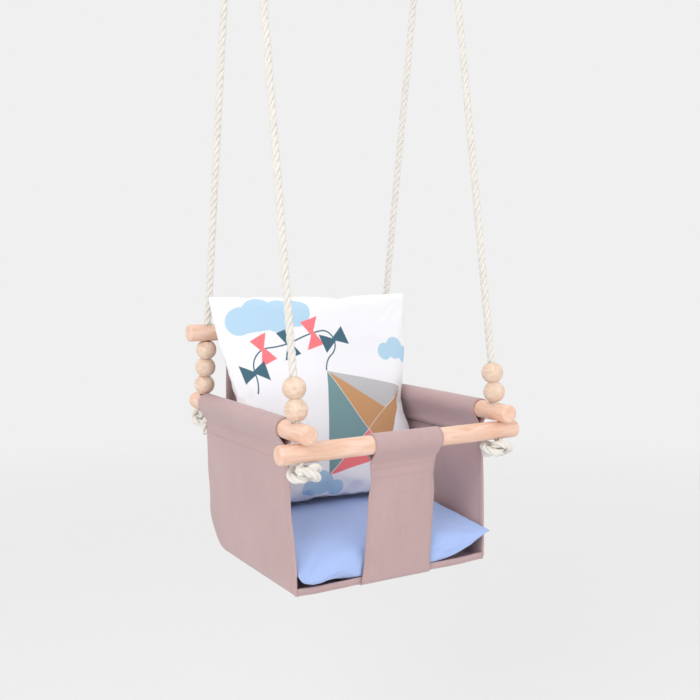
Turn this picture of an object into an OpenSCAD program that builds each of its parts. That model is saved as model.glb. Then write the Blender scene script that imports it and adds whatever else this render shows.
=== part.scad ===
// Toddler bucket swing: a canvas seat hung from four wooden bars, wooden beads and
// two pairs of ropes. The origin is midway between the two ring eyes, on the line that
// two hooks carry. +X is the child's left, -Y the front and +Z up.

/* [Bars] */
// Length of each of the four wooden bars
bar_len = 370; // [350:5:400]
// Diameter of a bar
bar_d = 25; // [24:0.5:26]
// Rounding of a bar's ends
bar_round = 3; // [1:0.5:5]
// Distance between the left and the right rope holes
span_x = 310; // [300:2:320]
// Distance between the front and the rear rope hole of an armrest
span_y = 310; // [304:2:316]
// Drop from the hanging line to the armrests' axes
drop = 1010; // [900:10:1300]
// How far the middle of the seat lies behind the hanging line
seat_back = 12; // [6:1:16]

/* [Beads] */
// Diameter of a bead
bead_d = 30; // [28:0.5:32]
// Height of a bead between its two flat faces
bead_h = 26.8; // [25:0.2:27]

/* [Ropes] */
// Diameter of the rope
rope_d = 11; // [10:0.5:11]
// Diameter of the rope holes in the bars and the beads
hole_d = 12.5; // [12:0.1:13]
// Sides of a rope's cross-section
rope_sides = 10; // [8:1:12]

/* [Rings] */
// Inner diameter of a hanging ring
ring_inner = 44; // [42:1:50]
// Wire diameter of a hanging ring
ring_wire = 8; // [7:0.5:8]
// Inner radius of the thimble that lines a rope's eye
thimble_r = 14.5; // [14:0.5:16]

/* [Canvas] */
// Thickness of the canvas
canvas = 2; // [1.5:0.25:2.5]
// Outside width of the seat at its bottom
seat_w = 300; // [290:2:304]
// Drop from the armrests' axes to the bottom of the seat
seat_drop = 213; // [200:1:230]
// Radius of the seat's lower rear corner
corner_r = 46; // [35:1:55]
// Width of the back panel between the rear beads
back_w = 246; // [220:2:256]
// Width of the crotch strap
strap_w = 104; // [90:2:120]

/* [Cushions] */
// Thickness of the seat cushion
seat_cushion_t = 63; // [50:1:64]
// How far the back cushion leans back from upright, in degrees
back_tilt = 12; // [10:1:13]
// Thickness of the back cushion
back_cushion_t = 62; // [50:1:64]
// Thickness of a cushion's cover
cover_t = 1.5; // [1:0.25:2]

/* [Hidden] */
$fn = 48;

touch = 0.3;                          // gap between pieces that rest on each other
far = 2 * span_x;                     // longer than anything that is cut
left = -1;
right = 1;
wood = "burlywood";
pale_wood = "wheat";
rope_cream = "ivory";
steel = "silver";
pink = "rosybrown";

// Rope holes, and the height at which a side's two rope axes would meet.
front_y = seat_back - span_y / 2;
rear_y = seat_back + span_y / 2;
meet_z = -76;
rise = drop + meet_z;

// Lean of a rope towards +Y, from the hole at y up to the meeting point.
function lean(y) = atan2(-y, rise);
// Point on the rope through the hole at y, at s above the armrest's axis.
function on_rope(side, y, s) =
    [side * span_x / 2, y + s * sin(lean(y)), s * cos(lean(y)) - drop];

// Beads sit on the armrest's crown, and the rear bar sits on the third rear bead.
flat_r = sqrt(pow(bead_d / 2, 2) - pow(bead_h / 2, 2));
function bead_s(y, k) =
    (bar_d / 2 + touch + flat_r * abs(sin(lean(y)))) / cos(lean(y))
    + bead_h / 2 + k * (bead_h + touch);
front_bar_s = -(bar_d + touch) / cos(lean(front_y));
rear_bar_s = bead_s(rear_y, 2) + bead_h / 2 + touch + bar_d / 2;

// Where the hanging ropes end inside a hole, and where the knotted ends begin.
rope_depth = 3;
end_gap = 1.6;
rope_spans = 7;                       // stretches in a hanging rope's mesh
front_crown_s = bar_d / 2 / cos(lean(front_y));
rear_crown_s = rear_bar_s + bar_d / 2;

// Knots: two turns of the rope, tilted against each other, and a tail.
turn_r = 8.5;
turn_z = [-8, -17];
turn_tilt = [14, -16];
knot_h = 22;
tail_d = rope_d - 1;
rear_knot_gap = 2.5;                  // the knot is square to the slanted rope, not to the armrest

// Rings and the ropes' eyes.
ring_r = (ring_inner + ring_wire) / 2;
ring_z = -ring_inner / 2;
pivot_z = ring_z - ring_r;
thimble_t = 1.8;
thimble_z = pivot_z - 9;
eye_r = thimble_r + thimble_t + 0.2 + rope_d / 2;
flange_h = 4;
flange_t = 1.5;
flange_x = rope_d / 2 + 0.4;
strand_y = rope_d / 2 + 0.2;          // half the distance of the two strands in the lashing
bend_r = 24;
lashing_top = -102;
lashing_bottom = -119;
lashing_wall = 2;
recess_z = -114;                      // roof of the lashing's recess for the hanging ropes
rope_top_z = recess_z - 2;
flare_y = strand_y + bend_r;
flare_z = lashing_top - 5;
flare = asin((bend_r + eye_r) / norm([flare_y, thimble_z - flare_z]))
    - atan2(flare_y, thimble_z - flare_z);

// Canvas sleeves and panels.
sleeve_in = bar_d / 2 + touch;
sleeve_out = sleeve_in + canvas;
sleeve_tip = 26;
seam_drop = sleeve_tip * sleeve_in / sleeve_out;
sleeve_front = front_y + 32;
sleeve_rear = rear_y - 15;
panel_front = -124;
panel_rear = 158;
seat_z = -drop - seat_drop;
hem_h = 8.5;
hem_t = 4.5;
corner = [panel_rear - corner_r, seat_z + corner_r];

// Cushions: the seat cushion's half width and rear edge, and the place and height of the
// back cushion, which is wide above the armrests and narrow enough to pass between them.
rim_r = 8;
fill_gap = 0.2;                       // between a cushion's cover and its filling
seat_cushion_half = seat_w / 2 - 4;
seat_cushion_rear = panel_rear - canvas - 8;
rim_share = 0.46;                     // height of the seat cushion's rim, as a share of its thickness
back_top = [0, 110, -850];
back_h = 310;
back_wide = 163;
back_narrow = span_x / 2 - sleeve_out - 3;
back_wide_h = 140;
back_narrow_top = 60;
squeeze = 2;                          // what the narrow part is fuller by on each face

// X of a side panel's middle at height z, between the sleeve's seam and the seat.
function panel_x(z) =
    span_x / 2 - (span_x / 2 - seat_w / 2 + canvas / 2)
    * (-drop - seam_drop - z) / (seat_drop - seam_drop);
function panel_inside(z) = panel_x(z) - canvas / 2 - 0.05;

// Points of an arc in a plane.
function arc(c, r, from, to, n = 10) =
    [for (i = [0:n]) let (a = from + (to - from) * i / n) c + r * [cos(a), sin(a)]];

// ---- bars and beads ----

module dowel() {
    top = arc([bar_d / 2 - bar_round, bar_len / 2 - bar_round], bar_round, 0, 90, 5);
    bottom = [for (i = [5:-1:0]) [top[i].x, -top[i].y]];
    rotate_extrude($fn = 72)
        polygon(concat([[0, -bar_len / 2]], bottom, top, [[0, bar_len / 2]]));
}

module along_rope(side, y, s) {
    translate(on_rope(side, y, s)) rotate([-lean(y), 0, 0]) children();
}

module rope_hole(side, y) {
    along_rope(side, y, 0) cylinder(d = hole_d, h = far, center = true);
}

module armrest(side) {
    color(wood) difference() {
        translate([side * span_x / 2, seat_back, -drop]) rotate([90, 0, 0]) dowel();
        rope_hole(side, front_y);
        rope_hole(side, rear_y);
    }
}

module crossbar(y, s) {
    p = on_rope(left, y, s);
    color(wood) difference() {
        translate([0, p.y, p.z]) rotate([0, 90, 0]) dowel();
        rope_hole(left, y);
        rope_hole(right, y);
    }
}

module bead(side, y, k) {
    color(pale_wood) along_rope(side, y, bead_s(y, k)) difference() {
        intersection() {
            sphere(d = bead_d, $fn = 72);
            cube([2 * bead_d, 2 * bead_d, bead_h], center = true);
        }
        cylinder(d = hole_d, h = 2 * bead_d, center = true);
    }
}

// ---- ropes ----

// Tube along a path that lies in a plane of constant X.
module tube(path, d) {
    n = len(path);
    m = rope_sides;
    rings = [for (i = [0:n - 1])
        let (t = path[min(i + 1, n - 1)] - path[max(i - 1, 0)], u = t / norm(t))
        for (j = [0:m - 1]) let (a = 360 * j / m)
            path[i] + d / 2 * [cos(a), -sin(a) * u.z, sin(a) * u.y]];
    walls = [for (i = [0:n - 2]) for (j = [0:m - 1]) let (k = (j + 1) % m)
        [i * m + j, (i + 1) * m + j, (i + 1) * m + k, i * m + k]];
    ends = [[for (j = [0:m - 1]) j], [for (j = [m - 1:-1:0]) (n - 1) * m + j]];
    polyhedron(rings, concat(walls, ends), convexity = 6);
}

module hanging_rope(side, y, from_s) {
    top_s = (rope_top_z + drop) / cos(lean(y));
    color(rope_cream)
        tube([for (i = [0:rope_spans])
                 on_rope(side, y, from_s + (top_s - from_s) * i / rope_spans)],
             rope_d);
}

// Knot below a hole, around the rope's end.
module knot(tail_turn, tail_drop, tail_len) {
    for (i = [0, 1])
        translate([0, 0, turn_z[i]]) rotate([turn_tilt[i], 0, 0])
            rotate_extrude() translate([turn_r, 0]) circle(d = rope_d, $fn = 24);
    translate([0, 0, turn_z[1]]) rotate([0, 0, tail_turn]) rotate([0, 90 + tail_drop, 0]) {
        cylinder(d = tail_d, h = tail_len, $fn = 24);
        translate([0, 0, tail_len]) sphere(d = tail_d, $fn = 24);
    }
}

// Rope's lower end: from just under the hanging rope's end at top_s down to its knot.
module knotted_end(side, y, top_s, knot_s, tail_turn, tail_drop, tail_len) {
    color(rope_cream) {
        along_rope(side, y, knot_s - knot_h)
            cylinder(d = rope_d, h = top_s - knot_s + knot_h, $fn = 24);
        along_rope(side, y, knot_s) knot(tail_turn, tail_drop, tail_len);
    }
}

module front_knot(side) {
    knotted_end(side, front_y, front_crown_s - rope_depth - end_gap,
                front_bar_s - bar_d / 2 - touch, 190, 0, 18);
}

module rear_knot(side) {
    knotted_end(side, rear_y, rear_crown_s - rope_depth - end_gap,
                -bar_d / 2 - rear_knot_gap, 90 - 20 * side, 62, 26);
}

// ---- rings, thimbles, eyes and lashings ----

module ring(side) {
    color(steel) translate([side * span_x / 2, 0, ring_z]) rotate([90, 0, 0])
        rotate_extrude($fn = 96) translate([ring_r, 0]) circle(d = ring_wire, $fn = 32);
}

// Outline of radius r whose two sides run down to a tip, half_angle from the vertical.
module teardrop(r, half_angle) {
    circle(r, $fn = 72);
    polygon([r * [-cos(half_angle), -sin(half_angle)], [0, -r / sin(half_angle)],
             r * [cos(half_angle), -sin(half_angle)]]);
}

// Extrudes an outline drawn in Y and Z along X, centred.
module across(width = far) {
    rotate([90, 0, 90]) linear_extrude(width, center = true) children();
}

// Extrudes an outline drawn in X and Z along Y, centred.
module lengthwise() {
    rotate([90, 0, 0]) linear_extrude(far, center = true) children();
}

module thimble(side) {
    flange_r = thimble_r + thimble_t + flange_h;
    color(steel) translate([side * span_x / 2, 0, thimble_z]) difference() {
        union() {
            across(2 * flange_x) teardrop(thimble_r + thimble_t, flare);
            for (s = [left, right]) translate([s * (flange_x + flange_t / 2), 0, 0])
                across(flange_t) intersection() {
                    teardrop(flange_r, flare);
                    translate([-flange_r, -1.9 * flange_r])
                        square([2 * flange_r, 3 * flange_r]);
                }
        }
        across() teardrop(thimble_r, flare);
    }
}

function flip(path) = [for (i = [len(path) - 1:-1:0]) [-path[i].x, path[i].y]];

module rope_eye(side) {
    leg = concat([[-strand_y, recess_z + 1]],
                 arc([-flare_y, flare_z], bend_r, 0, flare, 3));
    bow = arc([0, thimble_z], eye_r, 180 + flare, -flare, 14);
    path = [for (p = concat(leg, bow, flip(leg))) [side * span_x / 2, p.x, p.y]];
    color(rope_cream) tube(path, rope_d);
}

// Outline around the two strands in a lashing.
module strands(half_gap, r) {
    for (s = [left, right]) translate([0, s * half_gap]) circle(r, $fn = 32);
    square([2 * r, 2 * half_gap], center = true);
}

module lashing(side) {
    recess_y = strand_y + 1.3;
    recess_r = rope_d / 2 + 2.2;
    color(rope_cream) translate([side * span_x / 2, 0, 0]) difference() {
        translate([0, 0, lashing_bottom]) linear_extrude(lashing_top - lashing_bottom)
            strands(recess_y, recess_r + lashing_wall);
        translate([0, 0, lashing_bottom - 1]) linear_extrude(recess_z - lashing_bottom + 1)
            strands(recess_y, recess_r);
        linear_extrude(far, center = true) strands(strand_y, rope_d / 2);
    }
}

// ---- canvas ----

// End view of a sleeve around a bar at the origin; the children are the cloth that hangs
// from its tip.
module sleeved() {
    half_angle = asin(sleeve_out / sleeve_tip);
    difference() {
        union() {
            teardrop(sleeve_out, half_angle);
            children();
        }
        teardrop(sleeve_in, half_angle);
    }
}

// Side panel seen from the side, in Y and Z.
module side_outline() {
    top = -drop + sleeve_out + 1;
    polygon(concat([[sleeve_front, top], [sleeve_front, -drop - sleeve_tip - 1],
                    [panel_front, seat_z]],
                   arc(corner, corner_r, -90, 0, 12),
                   [[panel_rear, -drop - 85], [sleeve_rear, -drop - sleeve_tip - 1],
                    [sleeve_rear, top]]));
}

// The right side panel; the left one is its mirror image.
module right_panel() {
    z_top = -drop - (seam_drop + sleeve_tip) / 2;
    z_low = seat_z - 5;
    intersection() {
        union() {
            translate([span_x / 2, 0, -drop]) lengthwise() sleeved();
            lengthwise()
                polygon([for (p = [[1, z_top], [1, z_low], [-1, z_low], [-1, z_top]])
                         [panel_x(p.y) + p.x * canvas / 2, p.y]]);
        }
        across() side_outline();
    }
}

module side_panel(side) {
    color(pink) mirror([side < 0 ? 1 : 0, 0, 0]) right_panel();
}

// Keeps what lies between the two side panels.
module between_panels(z_low, z_high) {
    intersection() {
        children();
        lengthwise()
            polygon([[-panel_inside(z_low), z_low], [panel_inside(z_low), z_low],
                     [panel_inside(z_high), z_high], [-panel_inside(z_high), z_high]]);
    }
}

module seat_panel() {
    color(pink) between_panels(seat_z, seat_z + corner_r) across()
        polygon(concat([[panel_front, seat_z]],
                       arc(corner, corner_r, -90, 0, 12),
                       arc(corner, corner_r - canvas, 0, -90, 12),
                       [[panel_front + hem_t, seat_z + canvas],
                        [panel_front + hem_t, seat_z + hem_h],
                        [panel_front, seat_z + hem_h]]));
}

// Back panel seen from the front, in X and Z: narrow between the beads and knots.
module back_outline(z_low) {
    z_wide = -drop - 82;
    z_narrow = -drop - 34;
    half = [[panel_inside(z_low), z_low], [panel_inside(z_wide), z_wide],
            [back_w / 2 + 6, z_narrow - 8], [back_w / 2, z_narrow + 10],
            [back_w / 2, -drop / 2]];
    polygon(concat(half, flip(half)));
}

module back_panel() {
    bar = on_rope(left, rear_y, rear_bar_s);
    z_low = seat_z + corner_r;
    color(pink) intersection() {
        across() translate([bar.y, bar.z]) sleeved()
            translate([-bar.y, -bar.z])
                polygon([[panel_rear - canvas, z_low], [panel_rear, z_low],
                         [bar.y + canvas / 2, bar.z - sleeve_out],
                         [bar.y - canvas / 2, bar.z - sleeve_out]]);
        lengthwise() back_outline(z_low);
    }
}

module crotch_strap() {
    bar = on_rope(left, front_y, front_bar_s);
    foot = [panel_front - canvas / 2, seat_z];
    tilt = atan2(foot.x - bar.y, bar.z - foot.y);
    reach = norm([foot.x - bar.y, bar.z - foot.y]);
    color(pink) translate([0, bar.y, bar.z]) rotate([tilt, 0, 0]) across(strap_w)
        sleeved() translate([-canvas / 2, -reach]) square([canvas, reach - sleeve_out]);
}

// ---- cushions ----

// Plump pad in its own frame: X wide, Y long, Z thick, its rim in the plane z = 0, and its
// faces flat over the middle.
module pad(x_half, y_low, y_high, z_low, z_high, rim) {
    flat_x = 0.6 * x_half;
    flat_low = 0.75 * y_low + 0.25 * y_high;
    flat_high = 0.25 * y_low + 0.75 * y_high;
    hull() {
        for (x = [-1, 1] * (x_half - rim), y = [y_low + rim, y_high - rim])
            translate([x, y, 0]) sphere(rim, $fn = 24);
        translate([-flat_x, flat_low, z_low])
            cube([2 * flat_x, flat_high - flat_low, z_high - z_low]);
    }
}

module seat_pad(inset) {
    low = seat_z + canvas + touch;
    rim_z = low + rim_share * seat_cushion_t;
    translate([0, 0, rim_z])
        pad(seat_cushion_half - inset, panel_front - canvas + inset, seat_cushion_rear - inset,
            low - rim_z + inset, seat_cushion_t + low - rim_z - inset, rim_r - inset);
}

module back_pad(inset) {
    t = back_cushion_t / 2 - inset;
    translate(back_top) rotate([90 - back_tilt, 0, 0]) {
        pad(back_wide - inset, -back_wide_h + inset, -inset, -t, t, rim_r - inset);
        pad(back_narrow - inset, -back_h + inset, -back_narrow_top - inset,
            -t - squeeze, t + squeeze, rim_r - inset);
    }
}

module seat_cushion_cover() {
    color("lightsteelblue") difference() {
        seat_pad(0);
        seat_pad(cover_t);
    }
}

module seat_cushion_fill() {
    color("white") seat_pad(cover_t + fill_gap);
}

module back_cushion_cover() {
    color("whitesmoke") difference() {
        back_pad(0);
        back_pad(cover_t);
    }
}

module back_cushion_fill() {
    color("white") back_pad(cover_t + fill_gap);
}

// ---- nodes ----

ring(left);  // left_ring
ring(right);  // right_ring
thimble(left);  // left_thimble
thimble(right);  // right_thimble
rope_eye(left);  // left_rope_eye
rope_eye(right);  // right_rope_eye
lashing(left);  // left_lashing
lashing(right);  // right_lashing
hanging_rope(left, front_y, front_crown_s - rope_depth);  // left_front_rope
hanging_rope(right, front_y, front_crown_s - rope_depth);  // right_front_rope
hanging_rope(left, rear_y, rear_crown_s - rope_depth);  // left_rear_rope
hanging_rope(right, rear_y, rear_crown_s - rope_depth);  // right_rear_rope
front_knot(left);  // left_front_knot
front_knot(right);  // right_front_knot
rear_knot(left);  // left_rear_knot
rear_knot(right);  // right_rear_knot
armrest(left);  // left_armrest
armrest(right);  // right_armrest
crossbar(front_y, front_bar_s);  // front_bar
crossbar(rear_y, rear_bar_s);  // rear_bar
bead(left, front_y, 0);  // left_front_bead_lower
bead(left, front_y, 1);  // left_front_bead_upper
bead(right, front_y, 0);  // right_front_bead_lower
bead(right, front_y, 1);  // right_front_bead_upper
bead(left, rear_y, 0);  // left_rear_bead_lower
bead(left, rear_y, 1);  // left_rear_bead_middle
bead(left, rear_y, 2);  // left_rear_bead_upper
bead(right, rear_y, 0);  // right_rear_bead_lower
bead(right, rear_y, 1);  // right_rear_bead_middle
bead(right, rear_y, 2);  // right_rear_bead_upper
side_panel(left);  // left_side_panel
side_panel(right);  // right_side_panel
seat_panel();
back_panel();
crotch_strap();
seat_cushion_cover();
seat_cushion_fill();
back_cushion_cover();
back_cushion_fill();
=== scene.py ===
"""The looks of a toddler bucket swing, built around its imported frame."""

import math

import bpy
import numpy as np
from mathutils import Matrix, Vector, noise


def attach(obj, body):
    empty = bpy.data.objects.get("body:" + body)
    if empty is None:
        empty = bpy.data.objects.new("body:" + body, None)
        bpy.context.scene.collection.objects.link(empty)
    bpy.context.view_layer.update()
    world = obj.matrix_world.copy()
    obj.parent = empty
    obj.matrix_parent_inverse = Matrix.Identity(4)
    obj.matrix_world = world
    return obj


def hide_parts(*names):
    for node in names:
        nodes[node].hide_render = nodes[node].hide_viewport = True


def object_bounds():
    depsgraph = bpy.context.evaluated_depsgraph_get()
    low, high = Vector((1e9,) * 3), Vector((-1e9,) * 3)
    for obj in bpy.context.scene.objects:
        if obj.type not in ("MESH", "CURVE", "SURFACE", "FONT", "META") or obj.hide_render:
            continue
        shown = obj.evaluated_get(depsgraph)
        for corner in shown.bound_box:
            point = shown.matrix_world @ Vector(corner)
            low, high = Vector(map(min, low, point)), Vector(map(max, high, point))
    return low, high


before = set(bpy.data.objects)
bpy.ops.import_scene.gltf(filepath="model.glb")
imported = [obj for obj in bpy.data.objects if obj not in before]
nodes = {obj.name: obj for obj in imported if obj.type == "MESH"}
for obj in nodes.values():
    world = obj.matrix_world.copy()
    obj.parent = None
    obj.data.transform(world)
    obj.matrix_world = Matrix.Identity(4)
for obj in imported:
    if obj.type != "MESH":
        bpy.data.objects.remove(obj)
cad_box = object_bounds()

LEFT, RIGHT = -1, 1
SIDES = {"left": LEFT, "right": RIGHT}

# The rope holes, as in the CAD model: their X, their Y on the armrests, the height of the
# armrests' axes and the height at which a side's two rope axes would meet.
HOLE_X = 0.155
FRONT_Y, REAR_Y = -0.143, 0.167
ARM_Z = -1.010
MEET_Z = -0.076
ROPE_D = 0.011
BAR_R = 0.0125


# ---- small helpers ----


def srgb(r, g, b):
    """A colour given in 8 bits, as linear values."""
    values = [c / 255 for c in (r, g, b)]
    return tuple(v / 12.92 if v < 0.04045 else ((v + 0.055) / 1.055) ** 2.4 for v in values) + (1.0,)


def mix(a, b, t):
    return a + (b - a) * t


def smooth(t):
    t = min(max(t, 0.0), 1.0)
    return t * t * (3 - 2 * t)


def mesh_object(name, points, faces, uvs=None, materials=()):
    """A smooth-shaded mesh; uvs holds one pair for each corner of each face."""
    mesh = bpy.data.meshes.new(name)
    mesh.from_pydata([tuple(p) for p in points], [], [tuple(f) for f in faces])
    mesh.polygons.foreach_set("use_smooth", [True] * len(mesh.polygons))
    if uvs is not None:
        layer = mesh.uv_layers.new(name="cut")
        layer.data.foreach_set("uv", np.asarray(uvs, float).ravel())
    for material in materials:
        mesh.materials.append(material)
    mesh.update()
    obj = bpy.data.objects.new(name, mesh)
    bpy.context.scene.collection.objects.link(obj)
    return obj


def resample(points, step):
    """The same polyline with evenly spaced points."""
    points = np.asarray([tuple(p) for p in points], float)
    lengths = np.r_[0, np.cumsum(np.linalg.norm(np.diff(points, axis=0), axis=1))]
    count = max(2, int(round(lengths[-1] / step)) + 1)
    at = np.linspace(0, lengths[-1], count)
    return np.stack([np.interp(at, lengths, points[:, k]) for k in range(3)], axis=1)


def rounded(points, step):
    """A smooth curve through the points, with evenly spaced points of its own."""
    p = [Vector(q) for q in points]
    p = [2 * p[0] - p[1]] + p + [2 * p[-1] - p[-2]]
    out = []
    for a, b, c, d in zip(p, p[1:], p[2:], p[3:]):
        for k in range(12):
            t = k / 12
            out.append(
                0.5 * ((2 * b) + (c - a) * t + (2 * a - 5 * b + 4 * c - d) * t**2
                       + (3 * b - a - 3 * c + d) * t**3)
            )
    out.append(p[-2])
    return resample(out, step)


def frames_along(points):
    """Tangent and two cross directions at each point, which don't twist about the path."""
    tangents = np.gradient(points, axis=0)
    tangents /= np.linalg.norm(tangents, axis=1)[:, None]
    first = Vector(tangents[0])
    side = first.cross(Vector((0, 0, 1)))
    if side.length < 0.1:
        side = first.cross(Vector((1, 0, 0)))
    sides = [side.normalized()]
    for a, b in zip(tangents, tangents[1:]):
        turned = Vector(a).rotation_difference(Vector(b)) @ sides[-1]
        turned -= Vector(b) * turned.dot(Vector(b))
        sides.append(turned.normalized())
    sides = np.array([tuple(s) for s in sides])
    return tangents, sides, np.cross(tangents, sides)


def tube_faces(rings, around, first=0):
    faces = []
    for i in range(rings - 1):
        for j in range(around):
            k = (j + 1) % around
            a = first + i * around
            b = a + around
            faces.append((a + j, a + k, b + k, b + j))
    return faces


def tube_uvs(lengths, around):
    """U runs along the tube in metres and V once around it."""
    uvs = []
    for i in range(len(lengths) - 1):
        for j in range(around):
            v0, v1 = j / around, (j + 1) / around
            uvs += [(lengths[i], v0), (lengths[i], v1), (lengths[i + 1], v1), (lengths[i + 1], v0)]
    return uvs


def round_tube(name, points, radius, around, material):
    """A plain round cord along the points, closed at both ends."""
    t, n, b = frames_along(points)
    angle = np.linspace(0, 2 * math.pi, around, endpoint=False)
    rings = [p + radius * (math.cos(a) * s + math.sin(a) * c)
             for p, s, c in zip(points, n, b) for a in angle]
    faces = tube_faces(len(points), around)
    lengths = np.r_[0, np.cumsum(np.linalg.norm(np.diff(points, axis=0), axis=1))]
    uvs = tube_uvs(lengths, around)
    last = (len(points) - 1) * around
    faces.append(tuple(range(around - 1, -1, -1)))
    faces.append(tuple(range(last, last + around)))
    uvs += [(0, 0)] * (2 * around)
    return mesh_object(name, rings, faces, uvs, [material])


def twisted_rope(name, points, material, diameter=ROPE_D, lay=0.034):
    """Three strands laid up around the path, each a tube with a rounded tip."""
    orbit = 0.262 * diameter
    strand_r = 0.5 * diameter - orbit
    around = 10
    points = resample(points, lay / 12)
    t, n, b = frames_along(points)
    lengths = np.r_[0, np.cumsum(np.linalg.norm(np.diff(points, axis=0), axis=1))]
    angles = np.linspace(0, 2 * math.pi, around, endpoint=False)
    verts, faces, uvs = [], [], []
    for strand in range(3):
        turn = 2 * math.pi * (lengths / lay + strand / 3)
        out = np.cos(turn)[:, None] * n + np.sin(turn)[:, None] * b
        along = t + (2 * math.pi * orbit / lay) * (
            -np.sin(turn)[:, None] * n + np.cos(turn)[:, None] * b)
        along /= np.linalg.norm(along, axis=1)[:, None]
        cross = np.cross(along, out)
        centre = points + orbit * out
        first = len(verts)
        for i, c in enumerate(centre):
            # The strand is a little flatter on the inside, where it meets the other two.
            for a in angles:
                r = strand_r * (1.12 if math.cos(a) < -0.3 else 1.0)
                verts.append(c + r * (math.cos(a) * out[i] + math.sin(a) * cross[i]))
        faces += tube_faces(len(points), around, first)
        uvs += tube_uvs(lengths, around)
        for end, ring, order in ((0, 0, -1), (-1, len(points) - 1, 1)):
            tip = len(verts)
            push = strand_r * 0.7 * (1 if order > 0 else -1)
            verts.append(centre[end] + push * along[end])
            start = first + ring * around
            for j in range(around):
                k = (j + 1) % around
                pair = (start + j, start + k) if order > 0 else (start + k, start + j)
                faces.append((*pair, tip))
                uvs += [(lengths[end], j / around)] * 3
    return mesh_object(name, verts, faces, uvs, [material])


# ---- materials ----


class Shader:
    """A material's node tree, with short calls for the nodes that the surfaces share."""

    def __init__(self, name):
        self.material = bpy.data.materials.new(name)
        self.material.use_nodes = True
        self.tree = self.material.node_tree
        self.base = self.tree.nodes["Principled BSDF"]
        self.coords = self.tree.nodes.new("ShaderNodeTexCoord")
        self.object = self.coords.outputs["Object"]
        self.uv = self.coords.outputs["UV"]

    def node(self, kind, values, output=0, **settings):
        made = self.tree.nodes.new(kind)
        for key, value in settings.items():
            setattr(made, key, value)
        for key, value in values.items():
            if isinstance(value, bpy.types.NodeSocket):
                self.tree.links.new(value, made.inputs[key])
            else:
                made.inputs[key].default_value = value
        return made.outputs[output]

    def math(self, operation, a, b=0.0, c=0.0):
        return self.node("ShaderNodeMath", {0: a, 1: b, 2: c}, operation=operation)

    def scaled(self, vector, scale):
        return self.node("ShaderNodeMapping", {"Vector": vector, "Scale": scale})

    def noise(self, vector, scale, detail=3.0, roughness=0.5, distortion=0.0):
        values = {"Vector": vector, "Scale": scale, "Detail": detail, "Roughness": roughness,
                  "Distortion": distortion}
        return self.node("ShaderNodeTexNoise", values)

    def remap(self, value, low, high, to_low=0.0, to_high=1.0):
        values = {"Value": value, "From Min": low, "From Max": high, "To Min": to_low,
                  "To Max": to_high}
        return self.node("ShaderNodeMapRange", values)

    def mix(self, factor, a, b):
        made = self.tree.nodes.new("ShaderNodeMix")
        made.data_type = "RGBA"
        for socket, value in ((made.inputs[0], factor), (made.inputs[6], a), (made.inputs[7], b)):
            if isinstance(value, bpy.types.NodeSocket):
                self.tree.links.new(value, socket)
            else:
                socket.default_value = value
        return made.outputs[2]

    def set(self, **values):
        for key, value in values.items():
            socket = self.base.inputs[key.replace("_", " ")]
            if isinstance(value, bpy.types.NodeSocket):
                self.tree.links.new(value, socket)
            else:
                socket.default_value = value

    def bump(self, height, distance, strength=1.0):
        normal = self.node("ShaderNodeBump", {"Height": height, "Distance": distance,
                                              "Strength": strength})
        self.tree.links.new(normal, self.base.inputs["Normal"])


def cloth_material(name, colour, thread=0.0011, coarse=1.0):
    """Plain-woven cloth; the UVs are metres on the flat cloth."""
    s = Shader(name)
    cells = s.scaled(s.uv, (1 / thread, 1 / thread, 1))
    parts = s.tree.nodes.new("ShaderNodeSeparateXYZ")
    s.tree.links.new(cells, parts.inputs[0])
    warp = s.math("SINE", s.math("MULTIPLY", parts.outputs[0], 2 * math.pi))
    weft = s.math("SINE", s.math("MULTIPLY", parts.outputs[1], 2 * math.pi))
    weave = s.math("MULTIPLY", warp, weft)
    # Slubs: threads that are thicker or paler for a few centimetres.
    slub_u = s.noise(s.scaled(s.uv, (45, 900, 1)), 1.0, 2.0)
    slub_v = s.noise(s.scaled(s.uv, (900, 45, 1)), 1.0, 2.0)
    slubs = s.math("ADD", slub_u, slub_v)
    cloud = s.noise(s.uv, 9.0, 2.0)
    shade = s.math("ADD", s.remap(slubs, 0.6, 1.4, -0.5, 0.5), s.remap(cloud, 0.3, 0.7, -0.35, 0.35))
    shade = s.math("ADD", shade, s.math("MULTIPLY", weave, 0.25))
    factor = s.remap(shade, -1.0, 1.0)
    pale = tuple(min(1.0, c * (1 + 0.10 * coarse)) for c in colour[:3]) + (1,)
    dark = tuple(c * (1 - 0.12 * coarse) for c in colour[:3]) + (1,)
    s.set(Base_Color=s.mix(factor, dark, pale), Roughness=0.88, Sheen_Weight=0.25,
          Sheen_Roughness=0.45)
    height = s.math("ADD", weave, s.math("MULTIPLY", slubs, 1.2 * coarse))
    s.bump(height, 0.00012 * coarse, 0.6)
    return s.material


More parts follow.
